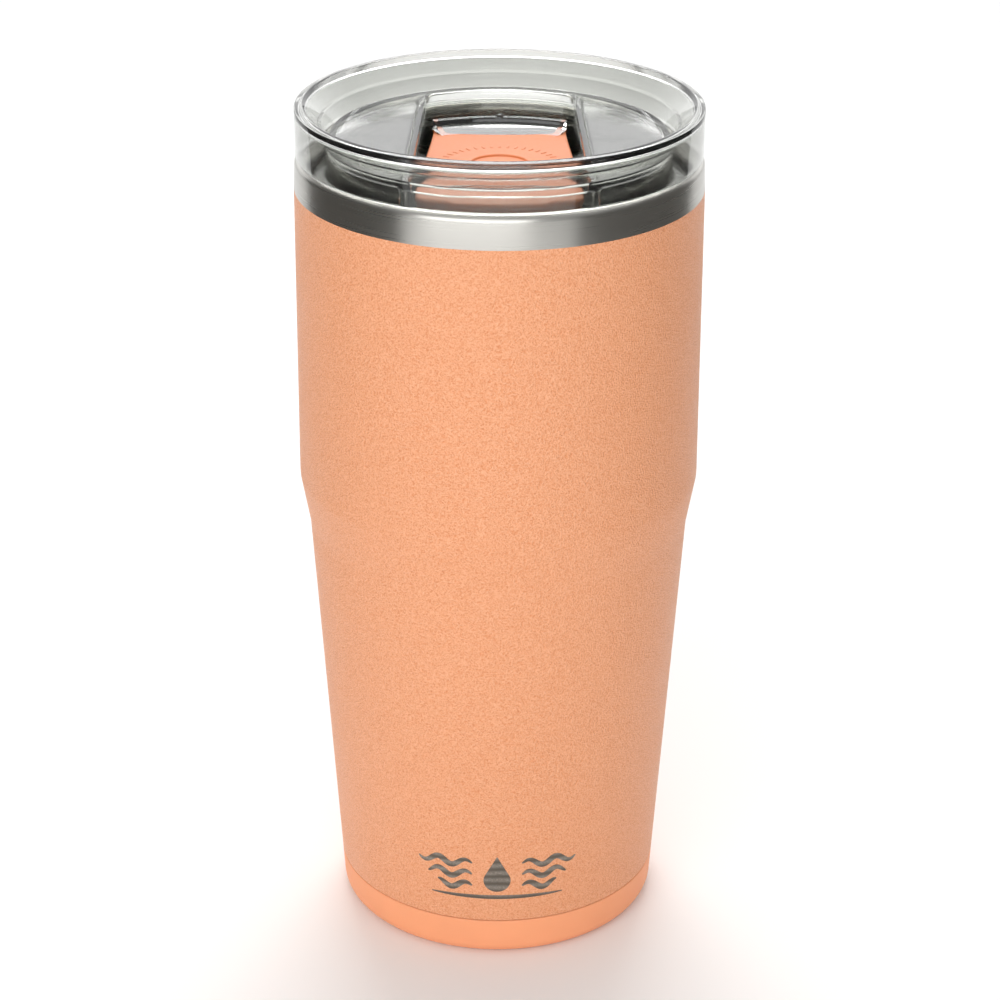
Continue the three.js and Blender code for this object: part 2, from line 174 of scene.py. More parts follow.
def turned(
    name: str,
    profile: np.ndarray,
    ends: Ends,
    centre: tuple[float, float] = (0.0, 0.0),
    turns: int = TURNS,
) -> bpy.types.Object:
    """Turns a profile round a vertical axis: x = radius * cos(angle), y = radius * sin(angle).

    Args:
        name: Name of the new object.
        profile: Points as (radius, height) in metres, up the outside and down the inside.
        ends: JOINED for a ring, CAPPED where the profile starts and ends at flat faces across the axis.
        centre: Where the axis stands, in metres.
        turns: Points in each ring.

    Returns:
        The new object.
    """
    angle = np.linspace(0, 2 * math.pi, turns, endpoint=False)
    radius, height = profile[:, :1], profile[:, 1:]
    x = centre[0] + radius * np.cos(angle)
    y = centre[1] + radius * np.sin(angle)
    return surface(name, np.stack([x, y, np.broadcast_to(height, x.shape)], axis=-1), ends)


def stacked(name: str, rings: list[tuple[np.ndarray, float | np.ndarray]], ends: Ends) -> bpy.types.Object:
    """Joins flat outlines, each lifted to its height, into one surface.

    Args:
        name: Name of the new object.
        rings: Outlines with the same number of points, each with one height or a height for each point.
        ends: How the first and last outlines are finished.

    Returns:
        The new object.
    """
    rows = [np.column_stack([line, np.broadcast_to(height, len(line))]) for line, height in rings]
    return surface(name, np.array(rows), ends)


class Cut(Enum):
    """What a second solid does to the first."""

    JOIN = "UNION"
    REMOVE = "DIFFERENCE"


def carve(piece: bpy.types.Object, tool: bpy.types.Object, cut: Cut) -> bpy.types.Object:
    """Joins a solid to a piece or cuts it out, then discards the solid.

    Args:
        piece: The piece that changes.
        tool: The solid that is used up.
        cut: Whether it is joined or removed.

    Returns:
        The same piece with its new mesh.
    """
    change = piece.modifiers.new("carve", "BOOLEAN")
    change.object = tool
    change.operation = cut.value
    change.solver = "EXACT"
    bpy.context.view_layer.update()
    done = bpy.data.meshes.new_from_object(piece.evaluated_get(bpy.context.evaluated_depsgraph_get()))
    piece.modifiers.clear()
    old = piece.data
    piece.data = done
    done.name = piece.name
    bpy.data.meshes.remove(old)
    bpy.data.objects.remove(tool)
    return crease(piece)


def gathered(name: str, parts: list[bpy.types.Object]) -> bpy.types.Object:
    """Puts several closed solids into one piece.

    Args:
        name: Name of the piece.
        parts: Solids that are used up.

    Returns:
        The piece that holds them all.
    """
    vertices: list[list[float]] = []
    faces: list[list[int]] = []
    for part in parts:
        start = len(vertices)
        points = np.empty(len(part.data.vertices) * 3)
        part.data.vertices.foreach_get("co", points)
        vertices += points.reshape(-1, 3).tolist()
        faces += [[start + v for v in face.vertices] for face in part.data.polygons]
        bpy.data.objects.remove(part)
    mesh = bpy.data.meshes.new(name)
    mesh.from_pydata(vertices, [], faces)
    mesh.update()
    piece = bpy.data.objects.new(name, mesh)
    bpy.context.scene.collection.objects.link(piece)
    return crease(piece)


# ---------------------------------------------------------------------------------------------------------
# Finishes
# ---------------------------------------------------------------------------------------------------------


def linear(code: str) -> tuple[float, float, float, float]:
    """Turns an sRGB hex code into the linear colour that a shader takes."""
    srgb = np.array([int(code[k : k + 2], 16) for k in (1, 3, 5)]) / 255
    value = np.where(srgb <= 0.04045, srgb / 12.92, ((srgb + 0.055) / 1.055) ** 2.4)
    return (*value.tolist(), 1.0)


def add_node(
    tree: bpy.types.NodeTree,
    kind: str,
    inputs: dict[str | int, object] | None = None,
    **settings: object,
) -> bpy.types.Node:
    """Adds a node with its settings and its links.

    Args:
        tree: The node tree.
        kind: Blender's name for the node type.
        inputs: For each input, a socket to link from or a plain value.
        **settings: Properties of the node.

    Returns:
        The new node.
    """
    node = tree.nodes.new(kind)
    for key, value in settings.items():
        setattr(node, key, value)
    for key, value in (inputs or {}).items():
        if isinstance(value, bpy.types.NodeSocket):
            tree.links.new(value, node.inputs[key])
        else:
            node.inputs[key].default_value = value
    return node


def per_metre(size_mm: float) -> float:
    """Scale that gives a noise pattern features of this size in millimetres."""
    return 1 / (size_mm * MM)


@dataclass(frozen=True)
class Finish:
    """A material and how its surface was made.

    Attributes:
        name: The real material and process.
        colour: Its colour as an sRGB hex code.
        roughness: Its mean roughness.
    """

    name: str
    colour: str
    roughness: float

    def material(self) -> bpy.types.Material:
        """The Blender material, made once and shared."""
        made = bpy.data.materials.get(self.name)
        if made:
            return made
        made = bpy.data.materials.new(self.name)
        made.use_nodes = True
        tree = made.node_tree
        tree.nodes.clear()
        base = {"Base Color": linear(self.colour), "Roughness": self.roughness}
        shader = add_node(tree, "ShaderNodeBsdfPrincipled", base)
        add_node(tree, "ShaderNodeOutputMaterial", {"Surface": shader.outputs[0]})
        place = add_node(tree, "ShaderNodeTexCoord").outputs["Object"]
        self.detail(tree, shader, place)
        return made

    def detail(self, tree: bpy.types.NodeTree, shader: bpy.types.Node, place: bpy.types.NodeSocket) -> None:
        """Adds what this finish shows close up; a plain finish adds nothing."""


@dataclass(frozen=True)
class PowderCoat(Finish):
    """Baked polyester powder: matt, with a fine wrinkle whose pits are tinted darker as painted shade.

    Attributes:
        pit_shade: Darker colour painted into the pits as shade in the wrinkle's hollows.
        wrinkle_mm: Distance from wrinkle to wrinkle.
        depth_mm: Height of a wrinkle. The bump is drawn four times as high so that it shows.
    """

    pit_shade: str = "#DC8651"
    wrinkle_mm: float = 0.34
    depth_mm: float = 0.085

    def detail(self, tree: bpy.types.NodeTree, shader: bpy.types.Node, place: bpy.types.NodeSocket) -> None:
        """Fine noise gives the wrinkle and darkens its pits as painted shade, and broad noise varies the
        gloss a little.
        """
        wrinkle = add_node(
            tree,
            "ShaderNodeTexNoise",
            {"Vector": place, "Scale": per_metre(self.wrinkle_mm), "Detail": 2.0, "Roughness": 0.55},
        ).outputs["Fac"]
        # Low points of the wrinkle take the darker pit colour: painted shade in its hollows.
        painted_pit_shade = add_node(tree, "ShaderNodeMapRange", {0: wrinkle, 1: 0.26, 2: 0.62}).outputs[0]
        tint = add_node(
            tree,
            "ShaderNodeMix",
            {0: painted_pit_shade, 6: linear(self.pit_shade), 7: linear(self.colour)},
            data_type="RGBA",
        )
        cloud = add_node(tree, "ShaderNodeTexNoise", {"Vector": place, "Scale": per_metre(22), "Detail": 2.0})
        gloss = add_node(
            tree,
            "ShaderNodeMapRange",
            {0: cloud.outputs["Fac"], 1: 0.3, 2: 0.7, 3: self.roughness - 0.05, 4: self.roughness + 0.05},
        )
        bump = add_node(
            tree,
            "ShaderNodeBump",
            {"Height": wrinkle, "Strength": 1.0, "Distance": self.depth_mm * MM * 4},
        )
        tree.links.new(tint.outputs[2], shader.inputs["Base Color"])
        tree.links.new(gloss.outputs[0], shader.inputs["Roughness"])
        tree.links.new(bump.outputs[0], shader.inputs["Normal"])


@dataclass(frozen=True)
class BrushedSteel(Finish):
    """18/8 stainless steel brushed while it spins: fine rings round the axis that stretch each highlight.

    Attributes:
        ring_mm: Spacing of the brush rings, coarser than real ones so that they show.
        grain: Strength of the brushing.
    """

    ring_mm: float = 0.22
    grain: float = 0.12

    def detail(self, tree: bpy.types.NodeTree, shader: bpy.types.Node, place: bpy.types.NodeSocket) -> None:
        """Noise over (distance from the axis, height) makes rings on walls and floors alike."""
        apart = add_node(tree, "ShaderNodeSeparateXYZ", {0: place})
        flat = add_node(tree, "ShaderNodeCombineXYZ", {0: apart.outputs[0], 1: apart.outputs[1]})
        reach = add_node(tree, "ShaderNodeVectorMath", {0: flat.outputs[0]}, operation="LENGTH")
        turn = add_node(
            tree, "ShaderNodeMath", {0: apart.outputs[1], 1: apart.outputs[0]}, operation="ARCTAN2"
        )
        drift = add_node(
            tree, "ShaderNodeMath", {0: turn.outputs[0], 1: self.ring_mm * MM}, operation="MULTIPLY"
        )
        rings = add_node(
            tree,
            "ShaderNodeCombineXYZ",
            {0: reach.outputs["Value"], 1: drift.outputs[0], 2: apart.outputs[2]},
        )
        brush = add_node(
            tree,
            "ShaderNodeTexNoise",
            {"Vector": rings.outputs[0], "Scale": per_metre(self.ring_mm), "Detail": 3.0, "Roughness": 0.6},
        ).outputs["Fac"]
        gloss = add_node(
            tree,
            "ShaderNodeMapRange",
            {0: brush, 1: 0.25, 2: 0.75, 3: self.roughness - 0.06, 4: self.roughness + 0.08},
        )
        bump = add_node(
            tree, "ShaderNodeBump", {"Height": brush, "Strength": self.grain, "Distance": self.ring_mm * MM}
        )
        tangent = add_node(tree, "ShaderNodeTangent", direction_type="RADIAL", axis="Z")
        tree.links.new(gloss.outputs[0], shader.inputs["Roughness"])
        tree.links.new(bump.outputs[0], shader.inputs["Normal"])
        tree.links.new(tangent.outputs[0], shader.inputs["Tangent"])
        shader.inputs["Metallic"].default_value = 1.0
        shader.inputs["Anisotropic"].default_value = 0.75
        shader.inputs["Anisotropic Rotation"].default_value = 0.25


@dataclass(frozen=True)
class ClearPlastic(Finish):
    """Clear copolyester, injection moulded: glassy, with the faint waviness that moulding leaves.

    Attributes:
        wave_mm: Distance across one moulding wave.
        wave: Strength of the waves.
    """

    wave_mm: float = 9.0
    wave: float = 0.05

    def detail(self, tree: bpy.types.NodeTree, shader: bpy.types.Node, place: bpy.types.NodeSocket) -> None:
        """Broad noise bends the surface slightly, and a second one dulls it here and there."""
        flow = add_node(
            tree, "ShaderNodeTexNoise", {"Vector": place, "Scale": per_metre(self.wave_mm), "Detail": 1.0}
        )
        haze = add_node(tree, "ShaderNodeTexNoise", {"Vector": place, "Scale": per_metre(3.0), "Detail": 3.0})
        gloss = add_node(
            tree,
            "ShaderNodeMapRange",
            {0: haze.outputs["Fac"], 1: 0.4, 2: 0.75, 3: self.roughness, 4: self.roughness + 0.05},
        )
        bump = add_node(
            tree,
            "ShaderNodeBump",
            {"Height": flow.outputs["Fac"], "Strength": self.wave, "Distance": 1.2 * MM},
        )
        tree.links.new(gloss.outputs[0], shader.inputs["Roughness"])
        tree.links.new(bump.outputs[0], shader.inputs["Normal"])
        shader.inputs["Transmission Weight"].default_value = 1.0
        shader.inputs["IOR"].default_value = 1.54


@dataclass(frozen=True)
class MouldedPlastic(Finish):
    """An opaque skin with a fine even grain: moulded plastic or silicone, fused glass or sintered metal.

    Attributes:
        texture_mm: Size of the grain.
        texture: Strength of the grain.
        glow: How much light travels under the surface.
    """

    texture_mm: float = 0.35
    texture: float = 0.1
    glow: float = 0.0

    def detail(self, tree: bpy.types.NodeTree, shader: bpy.types.Node, place: bpy.types.NodeSocket) -> None:
        """Fine noise roughens the surface, and broad noise shifts its brightness by a few per cent."""
        spark = add_node(
            tree, "ShaderNodeTexNoise", {"Vector": place, "Scale": per_metre(self.texture_mm), "Detail": 2.0}
        ).outputs["Fac"]
        cloud = add_node(tree, "ShaderNodeTexNoise", {"Vector": place, "Scale": per_metre(14), "Detail": 2.0})
        bright = add_node(
            tree, "ShaderNodeMapRange", {0: cloud.outputs["Fac"], 1: 0.3, 2: 0.7, 3: 0.97, 4: 1.03}
        )
        tint = add_node(
            tree,
            "ShaderNodeHueSaturation",
            {"Value": bright.outputs[0], "Color": linear(self.colour)},
        )
        gloss = add_node(
            tree,
            "ShaderNodeMapRange",
            {0: spark, 1: 0.3, 2: 0.7, 3: self.roughness - 0.04, 4: self.roughness + 0.06},
        )
        bump = add_node(
            tree,
            "ShaderNodeBump",
            {"Height": spark, "Strength": self.texture, "Distance": self.texture_mm * MM * 0.4},
        )
        tree.links.new(tint.outputs[0], shader.inputs["Base Color"])
        tree.links.new(gloss.outputs[0], shader.inputs["Roughness"])
        tree.links.new(bump.outputs[0], shader.inputs["Normal"])
        shader.inputs["Subsurface Weight"].default_value = self.glow
        shader.inputs["Subsurface Scale"].default_value = 1.5 * MM


@dataclass(frozen=True)
class EtchedSteel(Finish):
    """Steel laid bare by a laser: matt grey, crossed by the scan lines of the beam.

    Attributes:
        scan_mm: Distance between scan lines, coarser than real ones so that they show.
    """

    scan_mm: float = 0.3

    def detail(self, tree: bpy.types.NodeTree, shader: bpy.types.Node, place: bpy.types.NodeSocket) -> None:
        """Bands in height are the scan lines, and fine noise speckles them."""
        lines = add_node(
            tree,
            "ShaderNodeTexWave",
            {"Vector": place, "Scale": per_metre(self.scan_mm) / 20, "Distortion": 1.5, "Detail": 2.0},
            bands_direction="Z",
        ).outputs["Fac"]
        speck = add_node(
            tree, "ShaderNodeTexNoise", {"Vector": place, "Scale": per_metre(0.4), "Detail": 2.0}
        )
        both = add_node(tree, "ShaderNodeMath", {0: lines, 1: speck.outputs["Fac"]}, operation="MULTIPLY")
        tone = add_node(
            tree,
            "ShaderNodeMix",
            {0: both.outputs[0], 6: linear(self.colour), 7: linear("#B5AFA6")},
            data_type="RGBA",
        )
        tree.links.new(tone.outputs[2], shader.inputs["Base Color"])
        bump = add_node(tree, "ShaderNodeBump", {"Height": lines, "Strength": 0.2, "Distance": 0.05 * MM})
        tree.links.new(bump.outputs[0], shader.inputs["Normal"])
        shader.inputs["Metallic"].default_value = 0.85


# Apricot polyester powder baked on steel: a broad dull highlight over a fine wrinkle whose pits carry painted
# shade.
COAT = PowderCoat("powder_coat_apricot", "#F5B086", 0.41)
# Bare neck band and hidden shell parts: rings that pull a highlight out up and down the band.
SPUN_STEEL = BrushedSteel("stainless_steel_brushed", "#BDBBB6", 0.3)
# Electropolished inside, its colour set darker than clean steel as painted shade for the dim inside of the
# cup, so that the clear deck above it isn't too bright.
SHADED_INNER_STEEL = BrushedSteel("stainless_steel_electropolished_painted_shade", "#A4A29D", 0.24, ring_mm=0.5, grain=0.05)
# Ground rod: the brightest and sharpest of the steels.
PIN_STEEL = BrushedSteel("stainless_steel_ground_pin", "#C4C2BE", 0.2, ring_mm=0.3, grain=0.05)
# Clear copolyester: glassy, faintly grey, with bright edges where light leaves it.
CLEAR = ClearPlastic("clear_copolyester_moulded", "#EBECE9", 0.06)
# Moulded ABS in the coat's colour: smoother than the coat, a little light under its surface.
LEVER = MouldedPlastic("abs_moulded_apricot", "#EB8850", 0.45, texture_mm=0.3, texture=0.06, glow=0.05)
# Silicone boot: softer and duller than the coat, with light under its surface.
BOOT = MouldedPlastic("silicone_boot_apricot", "#F6A476", 0.55, texture_mm=0.4, texture=0.12, glow=0.05)
# Slate-grey silicone seals: dull, they show dark through the clear lid.
SEAL = MouldedPlastic("silicone_seal_slate", "#4B4C4B", 0.5, texture_mm=0.4, texture=0.08)
# Fused solder glass: near black with a tight highlight.
FRIT = MouldedPlastic("solder_glass_fused", "#23282D", 0.12, texture_mm=0.6, texture=0.03)
# Sintered getter metal: drawn without metallic reflection, because its pores leave it dull and grainy.
SINTER = MouldedPlastic("getter_metal_sintered", "#6B665F", 0.85, texture_mm=0.15, texture=0.5)
# Laser-bared steel: matt grey against the coat.
ETCH = EtchedSteel("stainless_steel_laser_etched", "#6E685F", 0.5)


# ---------------------------------------------------------------------------------------------------------
# The tumbler
# ---------------------------------------------------------------------------------------------------------


def fit_out(piece: bpy.types.Object, finish: Finish, body: str, slot: str, *nodes: str) -> bpy.types.Object:
    """Dresses a piece, hangs it on its body and hides the CAD nodes that it stands for.

    Args:
        piece: The finished piece.
        finish: Its finish.
        body: The body it moves with.
        slot: The record's material slot; not used.
        *nodes: CAD nodes that it stands for.

    Returns:
        The same piece.
    """
    piece.data.materials.clear()
    piece.data.materials.append(finish.material())
    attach(piece, body)
    if nodes:
        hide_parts(*nodes)
    LOG.info("%s: %d vertices, rides on %s", piece.name, len(piece.data.vertices), body)
    return piece


@dataclass
class SteelBody:
    """The double-walled steel body, its coat and what keeps its vacuum. Sizes are in millimetres."""

    lip_top: float = 170.8
    lip_roll: float = 1.5
    neck: float = 41.6
    band: float = 41.9
    band_z: float = 164.1
    shoulder: float = 42.2
    shoulder_z: float = 102.3
    waist: float = 40.2
    waist_z: float = 89.5
    seam: float = 35.0
    seam_z: float = 9.3
    foot: float = 33.3
    foot_z: float = 2.6
    steel: float = 0.6
    coat: float = 0.12
    wall: float = 4.0
    floor_z: float = 12.6
    corner: float = 9.0

    def taper(self, height: float) -> float:
        """Outside radius of the straight lower taper at a height."""
        return self.seam + (self.waist - self.seam) * (height - self.seam_z) / (self.waist_z - self.seam_z)

    def side(self, inset: float, low: float, high: float) -> list[tuple[float, float, float]]:
        """Corners up the outside of the body, moved inwards.

        Args:
            inset: How far inwards.
            low: Height where the side starts, on the taper.
            high: Height where it ends, at the neck.

        Returns:
            The corners as (radius, height, corner radius).
        """
        return [
            (self.taper(low) - inset, low, 0),
            (self.waist - inset + 0.1, self.waist_z + 1.2, 14),
            (self.shoulder - inset, self.shoulder_z - 1.0, 9),
            (self.band - inset, self.band_z, 0),
            (self.neck - inset, high, 0.6),
        ]

    def shell(self) -> None:
        """The outer wall: bare at the neck, stepped in under the boot, rolled over at the lip."""
        corners = [
            (self.foot - 0.4, self.foot_z, 0),
            (self.foot, self.foot_z + 1.2, 0.5),
            (self.foot, self.seam_z - 0.3, 0.3),
            *self.side(self.coat, self.seam_z, self.lip_top)[:3],
            (self.band - self.coat, self.band_z - 0.4, 0.1),
            (self.band - 0.02, self.band_z - 0.1, 0.1),
            (self.neck, self.lip_top, self.lip_roll),
            (self.neck - self.lip_roll, self.lip_top, 0),
            (self.neck - self.lip_roll, self.lip_top - self.steel, 0),
            *self.side(self.steel, self.seam_z + 1, self.lip_top - self.lip_roll - 0.6)[::-1],
            (self.foot - self.steel, self.seam_z - 0.6, 0.3),
            (self.foot - self.steel - 0.2, self.foot_z, 0),
        ]
        piece = turned("shell_wall", rounded(corners, 8, closed=True), Ends.JOINED)
        fit_out(piece, SPUN_STEEL, "cup", "bare_steel", "outer_shell")

    def skin(self) -> None:
        """The coat: a thin skin over the shell from boot seam to bare band, with a soft upper edge."""
        top = self.band_z
        corners = [
            *self.side(0, self.seam_z, top)[:3],
            (self.band, top, 0.1),
            (self.band - self.coat + 0.01, top, 0),
            *self.side(self.coat - 0.01, self.seam_z, top)[:3][::-1],
        ]
        piece = turned("coat_skin", rounded(corners, 12, closed=True), Ends.JOINED)
        fit_out(piece, COAT, "cup", "powder_coat", "outer_shell")

    def vessel(self) -> None:
        """The inner wall: a cup with a rounded floor corner, flared out to meet the shell at the lip."""
        low = self.floor_z
        seam = self.neck - self.lip_roll - 0.3
        inner = self.side(self.wall, low, self.lip_top)
        outer = self.side(self.wall - self.steel, low, self.lip_top)
        corners = [
            (1.0, low - self.steel, 0),
            (20.0, low - self.steel, 0),
            (outer[0][0], low - self.steel, self.corner + self.steel),
            *outer[1:4],
            (self.neck - self.wall + self.steel, self.lip_top - self.steel, 1.2),
            (seam, self.lip_top - self.steel, 0),
            (seam, self.lip_top, 0),
            (self.neck - self.wall, self.lip_top, 1.7),
            *inner[1:4][::-1],
            (inner[0][0], low, self.corner),
            (20.0, low, 0),
            (1.0, low, 0),
        ]
        piece = turned("vessel_wall", rounded(corners, 10), Ends.CAPPED)
        # The inner wall takes the darker steel, whose colour is painted shade for the inside of the cup.
        fit_out(piece, SHADED_INNER_STEEL, "cup", "bare_steel", "inner_vessel")

    def closure(self) -> None:
        """The base plate, the glass bead that seals its dimple, and the getter in its clip."""
        rim = self.foot - self.steel - 0.5
        plate_z = 5.0
        steel = self.steel
        plate = [
            (0.4, plate_z + 1.2 - steel, 0),
            (3.6, plate_z + 1.2 - steel, 0.6),
            (4.6, plate_z - steel, 0.6),
            (rim - steel, plate_z - steel, 0.6),
            (rim - steel, self.foot_z + 0.2, 0.1),
            (rim, self.foot_z + 0.2, 0.1),
            (rim, plate_z, 1.2),
            (4.6 + steel, plate_z, 0.6),
            (4.2, plate_z + 1.2, 0.6),
            (0.4, plate_z + 1.2, 0),
        ]
        piece = turned("closing_plate", rounded(plate), Ends.CAPPED, turns=144)
        fit_out(piece, SPUN_STEEL, "cup", "bare_steel", "base_plate")
        top = plate_z + 1.2 - steel - 0.3
        bead = [(0.3, top - 1.5, 0), (3.0, top - 1.5, 1.2), (3.2, top, 0.3), (0.3, top, 0)]
        piece = turned("sealing_bead", rounded(bead), Ends.CAPPED, turns=72)
        fit_out(piece, FRIT, "cup", "solder_glass", "vacuum_seal_bead")
        low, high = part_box("getter_tablet")
        pill = [(0.3, low.z / MM, 0), (5.0, low.z / MM, 0.3), (5.0, high.z / MM, 0.3), (0.3, high.z / MM, 0)]
        centre = (0.0, (low.y + high.y) / 2)
        piece = turned("getter_pill", rounded(pill), Ends.CAPPED, centre, turns=72)
        fit_out(piece, SINTER, "cup", "getter_metal", "getter_tablet")
        clip_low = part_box("getter_clip")[0].z / MM
        cup = [
            (0.3, clip_low, 0),
            (5.9, clip_low, 0.4),
            (5.9, high.z / MM - 0.6, 0.15),
            (5.3, high.z / MM - 0.6, 0.15),
            (5.3, clip_low + 0.6, 0.2),
            (0.3, clip_low + 0.6, 0),
        ]
        corners = [(-10, -2.5, 0.8), (10, -2.5, 0.8), (10, 2.5, 0.8), (-10, 2.5, 0.8)]
        tab = evenly(rounded(corners, 6, True), 96)
        tab += np.array([0.0, centre[1]])
        strap = stacked("strap", [(tab, clip_low * MM), (tab, (clip_low + 0.6) * MM)], Ends.CAPPED)
        dish = turned("dish", rounded(cup), Ends.CAPPED, centre, turns=72)
        piece = carve(strap, dish, Cut.JOIN)
        piece.name = "getter_bracket"
        fit_out(piece, SPUN_STEEL, "cup", "bare_steel", "getter_clip")

    def boot(self) -> None:
        """The soft boot: a shallow cup with a rounded foot, a standing ring and three ridges inside it."""
        top = self.seam_z - 0.3
        inner = self.foot + 0.3
        ridges = [
            corner
            for radius in (8.0, 14.0, 20.0)
            for corner in (
                (radius - 1.2, 0.7, 0.2),
                (radius - 0.7, 0.35, 0.2),
                (radius + 0.7, 0.35, 0.2),
                (radius + 1.2, 0.7, 0.2),
            )
        ]
        corners = [
            (0.5, 0.7, 0),
            (5.0, 0.7, 0),
            *ridges,
            (26.0, 0.7, 0.4),
            (26.7, 0.0, 0.4),
            (34.4, 0.0, 3.4),
            (self.seam - 0.02, top, 0.35),
            (inner, top, 0.15),
            (inner, 2.5, 0.8),
            (5.0, 2.3, 0),
            (0.5, 2.3, 0),
        ]
        piece = turned("boot_skin", rounded(corners, 9), Ends.CAPPED)
        fit_out(piece, BOOT, "cup", "boot_silicone", "base_boot")

    def build(self) -> None:
        """Builds every piece of the body."""
        self.shell()
        self.skin()
        self.vessel()
        self.closure()
        self.boot()
        Mark(self).build()


@dataclass
class Mark:
    """A plain etched motif on the front: a drop between two pairs of waves, over a line. In millimetres."""

    body: SteelBody
    middle_z: float = 20.6
    half: float = 17.4
    proud: float = 0.03

    def wrap(self, across: np.ndarray, up: np.ndarray, lift: float) -> np.ndarray:
        """Lays flat points on the taper: the angle from the front is across / radius at that height."""
        slope = (self.body.waist - self.body.seam) / (self.body.waist_z - self.body.seam_z)
        radius = self.body.seam + slope * (up + self.middle_z - self.body.seam_z)
        angle = across / radius
        out = radius + lift
        return np.stack([out * np.sin(angle), -out * np.cos(angle), up + self.middle_z], axis=-1) * MM

    def stroke(
        self, name: str, across: np.ndarray, up: np.ndarray, half_width: np.ndarray
    ) -> bpy.types.Object:
        """A stroke of varying width along a line, as a thin closed solid on the taper.

        Args:
            name: Name of the part.
            across: Distance round the body of each point of the line.
            up: Height of each point from the motif's middle.
            half_width: Half the stroke's width at each point.

        Returns:
            The solid.
        """
        run = np.gradient(np.stack([across, up], axis=1), axis=0)
        run /= np.linalg.norm(run, axis=1, keepdims=True)
        side_x, side_y = -run[:, 1] * half_width, run[:, 0] * half_width
        share = np.concatenate([[-1.0, 1.0], np.linspace(1.0, -1.0, 9)])[None, :]
        lift = np.where(np.arange(share.size) < 2, -0.3, self.proud)
        edge_across = across[:, None] + share * side_x[:, None]
        edge_up = up[:, None] + share * side_y[:, None]
        return surface(name, self.wrap(edge_across, edge_up, lift), Ends.CAPPED)

    def build(self) -> None:
        """Builds the motif as one piece.

        A wave is a sine whose stroke thins at both ends; the drop is a circle whose sides run straight from
        their tangent points to its tip.
        """
        parts = []
        taper = np.sqrt(np.clip(np.sin(np.linspace(0.05, math.pi - 0.05, 120)), 0, 1))
        for row in range(3):
            across = np.linspace(5.4, self.half - 2.2 * row, 120)
            up = 0.8 * np.sin((across - 5.4) * 2 * math.pi / 6.0) + 3.4 - 2.9 * row
            for side in (-1, 1):
                order = slice(None, None, side)
                parts.append(self.stroke("wave", side * across[order], up[order], 0.72 * taper))
        radius, tip, centre = 2.9, 5.3, -0.9
        lean = radius / (tip - centre)
        bend = centre + radius * lean
        up = np.linspace(centre - radius + 0.02, tip - 0.05, 120)
        round_part = np.sqrt(np.clip(radius**2 - (up - centre) ** 2, 0, None))
        straight = radius * math.sqrt(1 - lean**2) * (tip - up) / (tip - bend)
        parts.append(self.stroke("drop", np.zeros(120), up, np.where(up < bend, round_part, straight)))
        across = np.linspace(-self.half + 3.0, self.half - 3.0, 120)
        parts.append(self.stroke("line", across, np.full(120, -5.2), 0.5 * taper))
        piece = gathered("etched_motif", parts)
        fit_out(piece, ETCH, "cup", "bare_steel")


